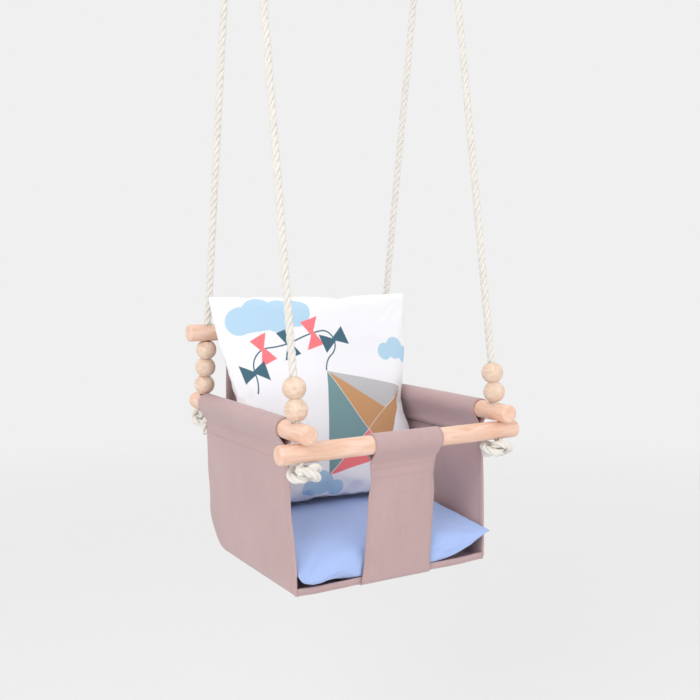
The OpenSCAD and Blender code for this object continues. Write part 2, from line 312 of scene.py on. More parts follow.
def wood_material(name, along, light, dark, end_tone):
    """Pale beech: fine fibres and soft growth bands that run along one axis."""
    s = Shader(name)
    stretch = [1.0, 1.0, 1.0]
    stretch[along] = 0.09
    fibre_space = s.scaled(s.object, tuple(stretch))
    fibres = s.noise(fibre_space, 420.0, 5.0, 0.6)
    wide = list(stretch)
    wide[along] = 0.16
    bands = s.noise(s.scaled(s.object, tuple(wide)), 120.0, 2.0, 0.5, 0.8)
    rays_space = list(stretch)
    rays_space[along] = 0.3
    rays = s.noise(s.scaled(s.object, tuple(rays_space)), 900.0, 2.0, 0.5)
    factor = s.math("ADD", s.math("MULTIPLY", s.remap(bands, 0.38, 0.66), 0.72),
                    s.math("MULTIPLY", s.remap(fibres, 0.38, 0.66), 0.45))
    colour = s.mix(factor, light, dark)
    colour = s.mix(s.remap(rays, 0.62, 0.72, 0.0, 0.25), colour, end_tone)
    s.set(Base_Color=colour, Roughness=s.remap(fibres, 0.3, 0.7, 0.42, 0.60),
          Coat_Weight=0.08, Coat_Roughness=0.35)
    s.bump(fibres, 0.00008, 0.5)
    return s.material


def rope_material(name, colour):
    """Soft cotton: yarns that cross each strand, and a fuzzy surface."""
    s = Shader(name)
    parts = s.tree.nodes.new("ShaderNodeSeparateXYZ")
    s.tree.links.new(s.uv, parts.inputs[0])
    slope = s.math("MULTIPLY", parts.outputs[0], 2 * math.pi * 55)
    around = s.math("MULTIPLY", parts.outputs[1], 2 * math.pi * 7)
    yarns = s.math("SINE", s.math("SUBTRACT", around, slope))
    fluff = s.noise(s.object, 1500.0, 4.0, 0.6)
    patches = s.noise(s.object, 60.0, 2.0)
    tone = s.math("ADD", s.math("MULTIPLY", yarns, 0.22), s.remap(fluff, 0.3, 0.7, 0.2, 0.8))
    tone = s.math("ADD", tone, s.remap(patches, 0.3, 0.7, -0.15, 0.15))
    dark = tuple(c * 0.80 for c in colour[:3]) + (1,)
    s.set(Base_Color=s.mix(s.remap(tone, 0.0, 1.0), dark, colour), Roughness=0.92,
          Sheen_Weight=0.5, Sheen_Roughness=0.5)
    s.bump(s.math("ADD", yarns, s.math("MULTIPLY", fluff, 1.5)), 0.00022, 0.8)
    return s.material


def metal_material(name, colour, roughness):
    s = Shader(name)
    scratches = s.noise(s.scaled(s.object, (1, 1, 6)), 260.0, 4.0)
    s.set(Base_Color=colour, Metallic=1.0, Roughness=s.remap(scratches, 0.3, 0.7, roughness * 0.8,
                                                             roughness * 1.25))
    s.bump(scratches, 0.00003, 0.3)
    return s.material


CANVAS = cloth_material("canvas", srgb(190, 161, 161))
THREAD = cloth_material("thread", srgb(203, 176, 174), thread=0.0004, coarse=0.6)
BLUE = cloth_material("blue cotton", srgb(166, 189, 237), thread=0.0006, coarse=0.35)
WHITE = cloth_material("white cotton", srgb(235, 235, 240), thread=0.0006, coarse=0.2)
BEECH = [srgb(240, 207, 188), srgb(227, 183, 157), srgb(207, 160, 132)]
WOOD_X = wood_material("beech along X", 0, *BEECH)
WOOD_Y = wood_material("beech along Y", 1, *BEECH)
BEAD_WOOD = wood_material("bead beech", 1, srgb(238, 215, 197), srgb(218, 188, 163),
                          srgb(200, 166, 138))
ROPE = rope_material("cotton rope", srgb(247, 243, 235))
STEEL = metal_material("ring steel", srgb(200, 200, 203), 0.28)
ZINC = metal_material("thimble steel", srgb(186, 187, 190), 0.38)


# ---- camera, light and floor ----

camera = bpy.data.objects.new("camera", bpy.data.cameras.new("camera"))
bpy.context.scene.collection.objects.link(camera)
bpy.context.scene.camera = camera
camera.location = (-0.6677, -1.1411, -0.8112)
camera.rotation_euler = (math.radians(90 - 3.91), math.radians(0.33), math.radians(-30.51))
camera.data.sensor_width = 36
camera.data.lens = 47.57
camera.data.shift_y = -0.025
camera.data.clip_start = 0.05


def area_light(name, place, target, size, power):
    light = bpy.data.objects.new(name, bpy.data.lights.new(name, "AREA"))
    bpy.context.scene.collection.objects.link(light)
    light.data.shape = "DISK"
    light.data.size = size
    light.data.energy = power
    light.location = place
    light.rotation_euler = (Vector(target) - Vector(place)).to_track_quat("-Z", "Y").to_euler()


SEAT_CENTRE = (0, 0, -1.08)
area_light("key", (-2.2, -1.6, 0.3), SEAT_CENTRE, 1.6, 29)
area_light("fill", (1.4, -2.6, -0.6), SEAT_CENTRE, 2.4, 12)
area_light("top", (0.2, 0.6, 1.2), SEAT_CENTRE, 1.8, 9)

world = bpy.data.worlds.new("studio")
bpy.context.scene.world = world
world.use_nodes = True
sky = world.node_tree.nodes["Background"]
sky.inputs["Color"].default_value = srgb(240, 240, 240)
sky.inputs["Strength"].default_value = 1.0
bpy.context.scene.view_settings.view_transform = "Standard"


def floor():
    """A wide pale disc far below the seat, which fades out into the background."""
    around = 64
    radii = [0.4, 1.2, 2.4, 4.0]
    verts = [(0, 0, 0)]
    for r in radii:
        verts += [(r * math.cos(2 * math.pi * k / around), r * math.sin(2 * math.pi * k / around), 0)
                  for k in range(around)]
    faces = [(0, 1 + k, 1 + (k + 1) % around) for k in range(around)]
    for i in range(len(radii) - 1):
        a, b = 1 + i * around, 1 + (i + 1) * around
        faces += [(a + k, b + k, b + (k + 1) % around, a + (k + 1) % around) for k in range(around)]
    disc = mesh_object("floor", verts, faces, None, [floor_material(radii[0], radii[-1])])
    disc.location = (0, 0, cad_box[0].z - 0.55)


def floor_material(inner, outer):
    s = Shader("floor")
    grain = s.noise(s.object, 6.0, 3.0)
    s.set(Base_Color=s.mix(grain, srgb(231, 231, 231), srgb(233, 233, 233)), Roughness=0.9)
    distance = s.node("ShaderNodeVectorMath", {0: s.object}, "Value", operation="LENGTH")
    s.set(Alpha=s.remap(distance, inner, outer, 1.0, 0.0))
    return s.material


floor()


# ---- ropes ----


def lean(y):
    return math.atan2(-y, MEET_Z - ARM_Z)


def on_rope(side, y, s):
    """The point on the rope through the hole at y, at s above the armrest's axis."""
    a = lean(y)
    return Vector((side * HOLE_X, y + s * math.sin(a), ARM_Z + s * math.cos(a)))


# Places along the ropes, from the armrests' axes: the axes of the front and rear bars, and
# where each hanging rope starts inside its top hole. Then the height of the ropes' upper ends.
FRONT_BAR_S = -(2 * BAR_R + 0.0003) / math.cos(lean(FRONT_Y))
REAR_BAR_S = 0.10801
FRONT_START = 0.00965
REAR_START = REAR_BAR_S + 0.0095
TOP_Z = -0.118


def eye_path(side):
    """The rope's eye around its thimble: up one leg, round the bow and down the other."""
    strand_y, bend_r, eye_r = 0.0057, 0.024, 0.022
    thimble_z, flare_z = -0.057, -0.107
    flare_y = strand_y + bend_r
    rise = thimble_z - flare_z
    flare = math.asin((bend_r + eye_r) / math.hypot(flare_y, rise)) - math.atan2(flare_y, rise)
    leg = [(-strand_y, -0.113)]
    leg += [(-flare_y + bend_r * math.cos(a), flare_z + bend_r * math.sin(a))
            for a in np.linspace(0, flare, 6)]
    bow = [(eye_r * math.cos(a), thimble_z + eye_r * math.sin(a))
           for a in np.linspace(math.pi + flare, -flare, 40)]
    half = leg + bow + [(-y, z) for y, z in reversed(leg)]
    return [Vector((side * HOLE_X, y, z)) for y, z in half]


def lashing_twine(name, side):
    """Twine wound tightly around the two strands below the thimble."""
    turns, low, high = 8, -0.1180, -0.1020
    half_gap, r = 0.0062, 0.0074
    straight, bend = 2 * half_gap, math.pi * r
    loop = 2 * (straight + bend)
    points = []
    for i in range(turns * 32 + 1):
        s = (i / 32 * loop) % loop
        z = mix(low, high, i / (turns * 32))
        if s < straight:
            x, y = r, -half_gap + s
        elif s < straight + bend:
            a = (s - straight) / r
            x, y = r * math.cos(a), half_gap + r * math.sin(a)
        elif s < 2 * straight + bend:
            x, y = -r, half_gap - (s - straight - bend)
        else:
            a = math.pi + (s - 2 * straight - bend) / r
            x, y = r * math.cos(a), -half_gap + r * math.sin(a)
        points.append((side * HOLE_X + x, y, z))
    twine = round_tube(name, np.array(points), 0.00115, 8, ROPE)
    return twine


def knot_route(tail):
    """A tight overhand knot in mm, below a hole at the origin: the rope drops through the hole,
    winds as a trefoil round a ring, and ends in a tail, given as steps from the trefoil's end."""
    ring, tube, depth = 12.5, 6.2, 12.3
    first, last = math.radians(-50), math.radians(930)
    route = [Vector((0, 0, 14)), Vector((0, 0, 5)), Vector((0, 0, -1))]
    for wind in np.linspace(first, last, 61):
        turn = math.pi - (wind - first) * 2 / 3
        reach = ring - tube * math.cos(wind)
        route.append(Vector((6 + reach * math.cos(turn), reach * math.sin(turn),
                             -depth - tube * math.sin(wind))))
    return route + [route[-1] + Vector(step) for step in tail]


FRONT_KNOT = knot_route([(-5, 1.5, 1.0), (-10, 2.0, 0.5)])
REAR_KNOT = knot_route([(-4, 3, -1), (-6, 5, -7), (-6, 4, -16), (-3, 2, -22)])


def rope_knot(name, side, y, low, route, turn):
    """A stopper knot below the hole at y, turned about the rope."""
    a = lean(y)
    axis = Vector((0, math.sin(a), math.cos(a)))
    spin = Matrix.Rotation(math.radians(turn), 3, axis)
    across = spin @ Vector((1, 0, 0))
    depth = axis.cross(across)
    top = on_rope(side, y, low)
    points = [top + 0.001 * (across * u + depth * v + axis * w) for u, v, w in route]
    return twisted_rope(name, rounded(points, 0.0012), ROPE, diameter=0.0114, lay=0.034)


def hanging_ropes():
    for word, side in SIDES.items():
        eye = twisted_rope(f"{word}_eye_rope", eye_path(side), ROPE)
        twine = lashing_twine(f"{word}_lashing_twine", side)
        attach(eye, "top_loops")
        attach(twine, "top_loops")
        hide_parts(f"{word}_rope_eye")
        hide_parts(f"{word}_lashing")
        for place, y, start in (("front", FRONT_Y, FRONT_START), ("rear", REAR_Y, REAR_START)):
            length = (TOP_Z - ARM_Z) / math.cos(lean(y)) - start
            path = [on_rope(side, y, start + length * k / 24) for k in range(25)]
            rope = twisted_rope(f"{word}_{place}_hanging_rope", path, ROPE)
            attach(rope, f"{word}_ropes")
            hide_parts(f"{word}_{place}_rope")


def knots():
    places = {"front": (FRONT_Y, FRONT_BAR_S - BAR_R, FRONT_KNOT),
              "rear": (REAR_Y, -BAR_R, REAR_KNOT)}
    turns = {("left", "front"): 0, ("right", "front"): 168, ("left", "rear"): 20,
             ("right", "rear"): 150}
    for (word, place), turn in turns.items():
        y, low, route = places[place]
        knot = rope_knot(f"{word}_{place}_rope_knot", SIDES[word], y, low, route, turn)
        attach(knot, "seat")
        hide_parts(f"{word}_{place}_knot")


hanging_ropes()
knots()


# ---- wood and metal, which keep their CAD shape ----


def paint(node, material):
    node.data.materials.clear()
    node.data.materials.append(material)


for node_name, node in nodes.items():
    if node_name.endswith("_armrest"):
        paint(node, WOOD_Y)
    elif node_name in ("front_bar", "rear_bar"):
        paint(node, WOOD_X)
    elif "_bead_" in node_name:
        paint(node, BEAD_WOOD)
    elif node_name.endswith("_ring"):
        paint(node, STEEL)
    elif node_name.endswith("_thimble"):
        paint(node, ZINC)


# ---- canvas ----

CLOTH = 0.0018
SLEEVE_R = 0.0138
SLEEVE_TIP = 0.0245
LAP = 0.014
SEAT_Z = -1.223
CORNER_R = 0.058
PANEL_REAR = 0.1600
PANEL_FRONT = -0.124
SEAM_Z = ARM_Z - 0.0225
SEAT_HALF = 0.149
STRAP_FOOT_Y = PANEL_FRONT - 0.0022
# Stitches: how far a hem's row lies from the edge, and how high rows lie above the middle of
# the cloth, on a hem, on bare cloth, and on the side where the sleeve's lap doubles it.
HEM_STITCH = 0.0068
HEM_LIFT = 0.0019
BARE_LIFT = 0.0011
LAP_LIFT = 0.0030


def wrinkle(x, y, z, size, depth):
    """Soft folds of about this size and depth."""
    p = Vector((x, y, z)) / size
    return depth * (noise.noise(p) + 0.45 * noise.noise(p * 2.1 + Vector((7, 3, 5))))


def panel_x(z):
    """Middle of a side panel at height z."""
    return HOLE_X - (HOLE_X - SEAT_HALF) * (SEAM_Z - z) / (SEAM_Z - SEAT_Z)


def sleeve_path(centre, down, out):
    """Profile of a sleeve from the lapped edge inside, round the bar, to the seam outside."""
    theta = math.asin(SLEEVE_R / SLEEVE_TIP)
    tip = centre + down * SLEEVE_TIP
    inside = tip - out * (CLOTH * 1.05)
    path = [inside + down * LAP, inside + down * LAP * 0.5, inside]
    path.append(mix(inside, centre - out * SLEEVE_R * math.cos(theta)
                    + down * SLEEVE_R * math.sin(theta), 0.5))
    steps = 20
    for k in range(steps + 1):
        a = math.pi + theta - (math.pi + 2 * theta) * k / steps
        path.append(centre + out * SLEEVE_R * math.cos(a) - down * SLEEVE_R * math.sin(a))
    path.append(mix(path[-1], tip, 0.5))
    path.append(tip)
    return path


def cloth_sheet(name, rows):
    """Cloth through a grid of points; its UVs are distances on the cloth, in metres."""
    grid = np.array([[tuple(p) for p in row] for row in rows], float)
    n, m = grid.shape[:2]
    across = np.zeros((n, m))
    across[:, 1:] = np.cumsum(np.linalg.norm(np.diff(grid, axis=1), axis=2), axis=1)
    along = np.zeros((n, m))
    along[1:] = np.cumsum(np.linalg.norm(np.diff(grid, axis=0), axis=2), axis=0)
    faces, uvs = [], []
    for i in range(n - 1):
        for j in range(m - 1):
            corners = ((i, j), (i, j + 1), (i + 1, j + 1), (i + 1, j))
            faces.append(tuple(a * m + b for a, b in corners))
            uvs += [(across[c], along[c]) for c in corners]
    obj = mesh_object(name, grid.reshape(-1, 3), faces, uvs, [CANVAS])
    solid = obj.modifiers.new("thickness", "SOLIDIFY")
    solid.thickness = CLOTH
    solid.offset = 0
    obj["flat_width"] = float(across[:, -1].max())
    obj["flat_length"] = float(along[-1].max())
    return obj


def on_seat(obj, replaced=()):
    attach(obj, "seat")
    if replaced:
        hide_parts(*replaced)
    return obj


def hem(name, edge, inward, normal, width=0.0085, thickness=0.0036):
    """A folded hem that wraps the cloth's edge: a flat band with a rounded outer edge."""
    half = thickness / 2
    profile = [(-0.0011, 0.0), (-0.0007, 0.72 * half), (0.0006, half), (width - 0.0004, half),
               (width + 0.0002, 0.55 * half)]
    profile = profile + [(a, -b) for a, b in reversed(profile) if b > 0]
    around = len(profile)
    verts = [e + n * a + u * b for e, n, u in zip(edge, inward, normal) for a, b in profile]
    faces = tube_faces(len(edge), around)
    lengths = [0.0]
    for a, b in zip(edge, edge[1:]):
        lengths.append(lengths[-1] + (b - a).length)
    uvs = []
    for i in range(len(edge) - 1):
        for j in range(around):
            k = (j + 1) % around
            w0, w1 = profile[j][0], profile[k][0]
            uvs += [(lengths[i], w0), (lengths[i], w1), (lengths[i + 1], w1), (lengths[i + 1], w0)]
    last = (len(edge) - 1) * around
    faces.append(tuple(range(around - 1, -1, -1)))
    faces.append(tuple(range(last, last + around)))
    uvs += [(0, 0)] * (2 * around)
    return on_seat(mesh_object(name, verts, faces, uvs, [CANVAS]))


def stitch_row(name, lines, pitch=0.0036, radius=0.00042):
    """Short threads along each line; a line is points with the cloth's outward normals."""
    verts, faces = [], []
    for points, normals in lines:
        points = np.array([tuple(p) for p in points], float)
        normals = np.array([tuple(q) for q in normals], float)
        lengths = np.r_[0, np.cumsum(np.linalg.norm(np.diff(points, axis=0), axis=1))]
        count = int(lengths[-1] / pitch)
        for i in range(count):
            ends = []
            for t in (0.16, 0.84):
                at = (i + t) * pitch
                ends.append((
                    Vector([np.interp(at, lengths, points[:, k]) for k in range(3)]),
                    Vector([np.interp(at, lengths, normals[:, k]) for k in range(3)]).normalized()))
            (a, up), (b, _) = ends
            along = (b - a).normalized()
            side = along.cross(up).normalized()
            first = len(verts)
            for t, r, lift in ((0, 0.5, -0.3), (0.25, 1.0, 0.35), (0.75, 1.0, 0.35), (1, 0.5, -0.3)):
                centre = a.lerp(b, t) + up * radius * lift
                for k in range(6):
                    w = math.pi * k / 3
                    verts.append(centre + radius * r * (math.cos(w) * side + math.sin(w) * up))
            faces += tube_faces(4, 6, first)
            faces.append(tuple(first + k for k in range(5, -1, -1)))
            faces.append(tuple(first + 18 + k for k in range(6)))
    uvs = [(0.0, 0.0)] * sum(len(f) for f in faces)
    return on_seat(mesh_object(name, verts, faces, uvs, [THREAD]))


def panel_front(z):
    """Y of a side panel's front edge."""
    return mix(-0.1105, -0.1225, smooth((ARM_Z - z) / 0.213))


def panel_rear(z):
    """Y of a side panel's rear edge, rounded at its lower corner."""
    low = SEAT_Z + CORNER_R
    if z < low:
        return PANEL_REAR - CORNER_R + math.sqrt(max(0.0, CORNER_R**2 - (low - z) ** 2))
    return mix(PANEL_REAR, 0.1530, smooth((z - SEAM_Z + 0.008) / 0.020))


def side_panel(word):
    side = SIDES[word]
    centre = Vector((side * HOLE_X, 0, ARM_Z))
    profile = sleeve_path(centre, Vector((0, 0, -1)), Vector((side, 0, 0)))
    depth = [k / 34 for k in range(1, 35)]
    tip_z = profile[-1].z
    ease = [math.sin(t * math.pi / 2) for t in depth]
    profile += [Vector((side * panel_x(mix(tip_z, SEAT_Z, t)), 0, mix(tip_z, SEAT_Z, t))) for t in ease]
    columns = 56
    rows = []
    sleeve_count = len(profile) - len(depth)
    for i, p in enumerate(profile):
        front, rear = panel_front(p.z), panel_rear(p.z)
        row = []
        for j in range(columns + 1):
            y = mix(front, rear, j / columns)
            x = p.x
            z = p.z
            edge = min(j, columns - j) / columns
            if i >= sleeve_count:
                inner = min(1.0, (p.z - SEAT_Z) / 0.03) * min(1.0, (tip_z - p.z) / 0.02 + 0.25)
                x += side * wrinkle(0.3 * side, y, 0.6 * z, 0.055, 0.0026) * inner
                x += side * 0.0030 * math.sin(math.pi * smooth(edge * 2) / 2) * inner
                # The sewn edges roll inwards at the bottom and at the back.
                rim = min((p.z - SEAT_Z), max(0.0, rear - y)) / 0.005
                x -= side * 0.0016 * (1 - smooth(rim))
            else:
                x += wrinkle(x, y, z, 0.030, 0.0006)
                z += wrinkle(z, y, x, 0.034, 0.0006)
            row.append((x, y, z))
        rows.append(row)
    panel = cloth_sheet(f"{word}_side_canvas", rows)
    on_seat(panel, [f"{word}_side_panel"])
    return rows, sleeve_count


def side_trim(word, rows, sleeve_count):
    """A hem on the front edge below the sleeve, and the stitches of a side panel."""
    side = SIDES[word]
    grid = np.array(rows)
    out = Vector((side, 0, 0))
    drop = [Vector(p) for p in grid[sleeve_count:, 0]]
    count = len(drop)
    hem(f"{word}_front_hem", drop, [Vector((0, 1, 0))] * count, [out] * count)
    lines = []
    for face in (1, -1):
        shift = Vector((0, HEM_STITCH, 0)) + out * face * HEM_LIFT
        lines.append(([p + shift for p in drop], [out * face] * count))
    # Along the sleeve, just below the bar.
    seam = [Vector(p) for p in grid[sleeve_count + 1]]
    for face, lift in ((1, BARE_LIFT), (-1, LAP_LIFT)):
        shift = out * face * lift
        lines.append(([p + shift for p in seam], [out * face] * len(seam)))
    stitch_row(f"{word}_panel_stitches", lines)


for word in SIDES:
    panel_rows, sleeve_rows = side_panel(word)
    side_trim(word, panel_rows, sleeve_rows)


def seat_panel():
    """The seat's bottom, from its front hem back to the rounded lower corner."""
    path = [(-0.1222, SEAT_Z + 0.0085), (-0.1224, SEAT_Z + 0.004), (-0.1215, SEAT_Z + 0.0015)]
    path += [(mix(-0.119, 0.112, k / 40), SEAT_Z + 0.001) for k in range(41)]
    centre = (PANEL_REAR - CORNER_R, SEAT_Z + CORNER_R)
    r = CORNER_R - 0.001
    path += [(centre[0] + r * math.sin(a), centre[1] - r * math.cos(a))
             for a in np.linspace(0.08, math.pi / 2, 14)]
    columns = 48
    rows = []
    for y, z in path:
        half = panel_x(z) - 0.0016
        row = []
        for j in range(columns + 1):
            x = mix(-half, half, j / columns)
            edge = smooth(min(j, columns - j) / 3)
            sag = -0.0012 * math.sin(math.pi * j / columns) + wrinkle(x, y, 0.4, 0.06, 0.0014)
            row.append((x, y, z + (sag if z < SEAT_Z + 0.02 else 0) * edge))
        rows.append(row)
    sheet = cloth_sheet("seat_canvas", rows)
    on_seat(sheet, ["seat_panel"])
    top = [Vector(p) for p in rows[0]]
    front = Vector((0, -1, 0))
    hem("seat_front_hem", top, [Vector((0, 0, -1))] * len(top), [front] * len(top),
        width=0.0080, thickness=0.0034)
    line = [p + Vector((0, -0.0018, -0.0066)) for p in top]
    stitch_row("seat_hem_stitches", [(line, [front] * len(line))])


def back_width(z):
    """Half the back panel's width: narrow between the rear beads, wide below the knots."""
    narrow, knot_width = 0.1235, 0.130
    knot_top, knot_low, wide_z = -1.034, -1.052, -1.092
    wide = panel_x(min(z, wide_z)) - CLOTH
    if z > knot_low:
        return mix(narrow, knot_width, smooth((knot_top - z) / (knot_top - knot_low)))
    return mix(knot_width, wide, smooth((knot_low - z) / (knot_low - wide_z)))


def back_panel():
    bar = on_rope(LEFT, REAR_Y, REAR_BAR_S)
    centre = Vector((0, bar.y, bar.z))
    low = Vector((0, PANEL_REAR - 0.001, SEAT_Z + CORNER_R))
    down = (low - centre).normalized()
    out = Vector((0, -down.z, down.y))
    profile = sleeve_path(centre, down, out)
    sleeve_count = len(profile)
    tip = profile[-1]
    profile += [tip.lerp(low, k / 44) for k in range(1, 45)]
    columns = 44
    rows = []
    for i, p in enumerate(profile):
        half = back_width(p.z)
        row = []
        for j in range(columns + 1):
            x = mix(-half, half, j / columns)
            edge = smooth(min(j, columns - j) / 5)
            fold = wrinkle(x, 0.5, p.z * 0.7, 0.055, 0.0024) * edge if i >= sleeve_count else 0
            row.append((x, p.y + fold, p.z))
        rows.append(row)
    sheet = cloth_sheet("back_canvas", rows)
    on_seat(sheet, ["back_panel"])
    lines = []
    grid = np.array(rows)
    for side, column in ((LEFT, 0), (RIGHT, -1)):
        edge = [Vector(p) for p in grid[sleeve_count:sleeve_count + 34, column]]
        inward = [Vector((-side, 0, 0))] * len(edge)
        hem(f"back_hem_{'left' if side < 0 else 'right'}", edge, inward, [out] * len(edge))
        for face in (1, -1):
            shift = Vector((-side * HEM_STITCH, 0, 0)) + out * face * HEM_LIFT
            lines.append(([p + shift for p in edge], [out * face] * len(edge)))
    seam = [Vector(p) for p in grid[sleeve_count + 1]]
    for face, lift in ((1, BARE_LIFT), (-1, LAP_LIFT)):
        lines.append(([p + out * face * lift for p in seam], [out * face] * len(seam)))
    stitch_row("back_stitches", lines)


def crotch_strap():
    """The strap that hangs from the front bar and is sewn to the seat's front hem."""
    bar = on_rope(LEFT, FRONT_Y, FRONT_BAR_S)
    centre = Vector((0, bar.y, bar.z))
    foot = Vector((0, STRAP_FOOT_Y, SEAT_Z + 0.001))
    down = (foot - centre).normalized()
    out = Vector((0, down.z, -down.y))
    profile = sleeve_path(centre, down, out)
    sleeve_count = len(profile)
    tip = profile[-1]
    profile += [tip.lerp(foot, k / 40) for k in range(1, 41)]
    profile += [foot + Vector((0, 0.003, -0.0022)), foot + Vector((0, 0.010, -0.0026))]
    columns = 28
    rows = []
    for i, p in enumerate(profile):
        t = max(0.0, (i - sleeve_count) / 40)
        pull = 0.0030 * math.exp(-((t - 0.12) / 0.10) ** 2)
        half = 0.0520 - (pull if i >= sleeve_count else 0) + 0.0025 * smooth((t - 0.8) / 0.2)
        # The lap inside is narrower, so that it stays out of sight behind the strap.
        half -= 0.0040 if i < 3 else 0.0
        row = []
        for j in range(columns + 1):
            u = j / columns
            x = mix(-half, half, u)
            body = math.sin(math.pi * min(max(t, 0.0), 1.0))
            belly = 0.0045 * body * math.sin(math.pi * u) ** 0.6
            folds = wrinkle(x, 1.7, 0.35 * p.z, 0.024, 0.0016) * (0.25 + body)
            lift = belly + folds if i >= sleeve_count else wrinkle(x, p.y, p.z, 0.03, 0.0005)
            q = p + out * lift
            row.append((x, q.y, q.z))
        rows.append(row)
    sheet = cloth_sheet("strap_canvas", rows)
    on_seat(sheet, ["crotch_strap"])
    lines = []
    grid = np.array(rows)
    for row in (1, 4):
        seam = [Vector(p) for p in grid[sleeve_count + row]]
        lines.append(([p + out * BARE_LIFT for p in seam], [out] * len(seam)))
    for column in (1, -2):
        edge = [Vector(p) for p in grid[sleeve_count:-3, column]]
        lines.append(([p + out * BARE_LIFT for p in edge], [out] * len(edge)))
    stitch_row("strap_stitches", lines)


seat_panel()
back_panel()
crotch_strap()


# ---- cushions ----


def bag_grid(n, m):
    """Two layers of n by m cells that share their rim: the grid place of each point, and faces."""
    places, index, faces = [], {}, []
    for layer in (1, -1):
        for i in range(m + 1):
            for j in range(n + 1):
                if layer < 0 and (i in (0, m) or j in (0, n)):
                    index[layer, i, j] = index[1, i, j]
                else:
                    index[layer, i, j] = len(places)
                    places.append((j / n - 0.5, i / m - 0.5, layer))
    for layer in (1, -1):
        for i in range(m):
            for j in range(n):
                quad = [index[layer, i, j], index[layer, i, j + 1], index[layer, i + 1, j + 1],
                        index[layer, i + 1, j]]
                faces.append(quad if layer > 0 else quad[::-1])
    return np.array(places), faces


def rim_depth(a, b):
    """How far a point lies inside the rim, from 0 at the rim to 0.5 in the middle."""
    return 0.5 - np.maximum(abs(a), abs(b))


def inflate(name, places, faces, width, length):
    """The bag of two flat cloths after a cloth simulation has blown it up."""
    frames, pressure = 26, 4.0
    puff = 0.004 * np.clip(rim_depth(places[:, 0], places[:, 1]) / 0.1, 0, 1)
    start = np.stack([places[:, 0] * width, places[:, 1] * length, places[:, 2] * puff], axis=1)
    obj = mesh_object(name, start, faces)
    cloth = obj.modifiers.new("cloth", "CLOTH")
    settings = cloth.settings
    settings.quality = 6
    settings.mass = 0.25
    settings.tension_stiffness = 25
    settings.compression_stiffness = 25
    settings.shear_stiffness = 8
    settings.bending_stiffness = 0.12
    settings.air_damping = 2
    settings.use_pressure = True
    settings.uniform_pressure_force = pressure
    settings.effector_weights.gravity = 0
    cloth.collision_settings.use_collision = False
    cloth.point_cache.frame_start = 1
    cloth.point_cache.frame_end = frames
    scene = bpy.context.scene
    for f in range(1, frames + 1):
        scene.frame_set(f)
    evaluated = obj.evaluated_get(bpy.context.evaluated_depsgraph_get())
    blown = np.array([tuple(v.co) for v in evaluated.data.vertices])
    scene.frame_set(1)
    mesh = obj.data
    bpy.data.objects.remove(obj)
    bpy.data.meshes.remove(mesh)
    return blown


def straighten(points, places, pull):
    """Eases the sides of a blown bag towards straight lines; pull is the share of curve kept."""
    for axis in (0, 1):
        rows = np.round(places[:, 1 - axis], 6)
        for row in np.unique(rows):
            line = rows == row
            reach = abs(points[line, axis]).max()
            points[line, axis] *= mix(0.5 / reach, 1.0, pull)


def cushion_bag(name, width, length, thickness, pull):
    """A stuffed bag of its real size: points, faces, and each point's place on the flat cloth."""
    cells = 84
    places, faces = bag_grid(cells, int(round(cells * length / width)))
    points = inflate(name, places, faces, width, length)
    low, high = points.min(axis=0), points.max(axis=0)
    points = (points - (low + high) / 2) / (high - low)
    straighten(points, places, pull)
    # The seam gathers the cloth into small puckers that die out away from it.
    near = np.exp(-rim_depth(places[:, 0], places[:, 1]) * width / 0.011)
    for k, (u, v, layer) in enumerate(places):
        pucker = noise.noise(Vector((u * width, v * length, 0.1 * layer)) / 0.0085)
        points[k, 2] += 0.030 * near[k] * pucker
    points *= (0.97 * width, 0.97 * length, thickness)
    return points, faces, places[:, :2] * (width, length)


def cushion_object(name, points, faces, flat, materials):
    """The bag as a mesh with a creased seam; a second material goes on its rear cloth."""
    uvs = [flat[v] for face in faces for v in face]
    obj = mesh_object(name, points, faces, uvs, materials)
    mesh = obj.data
    if len(materials) > 1:
        rear = [0] * (len(faces) // 2) + [1] * (len(faces) // 2)
        mesh.polygons.foreach_set("material_index", rear)
    reach = abs(flat).max(axis=0) * 0.9999
    rim = (abs(flat) > reach).any(axis=1)
    crease = mesh.attributes.new("crease_edge", "FLOAT", "EDGE")
    seam = [0.8 if rim[e.vertices[0]] and rim[e.vertices[1]] else 0.0 for e in mesh.edges]
    crease.data.foreach_set("value", seam)
    subdivision = obj.modifiers.new("subdivision", "SUBSURF")
    subdivision.levels = 1
    subdivision.render_levels = 1
    return obj


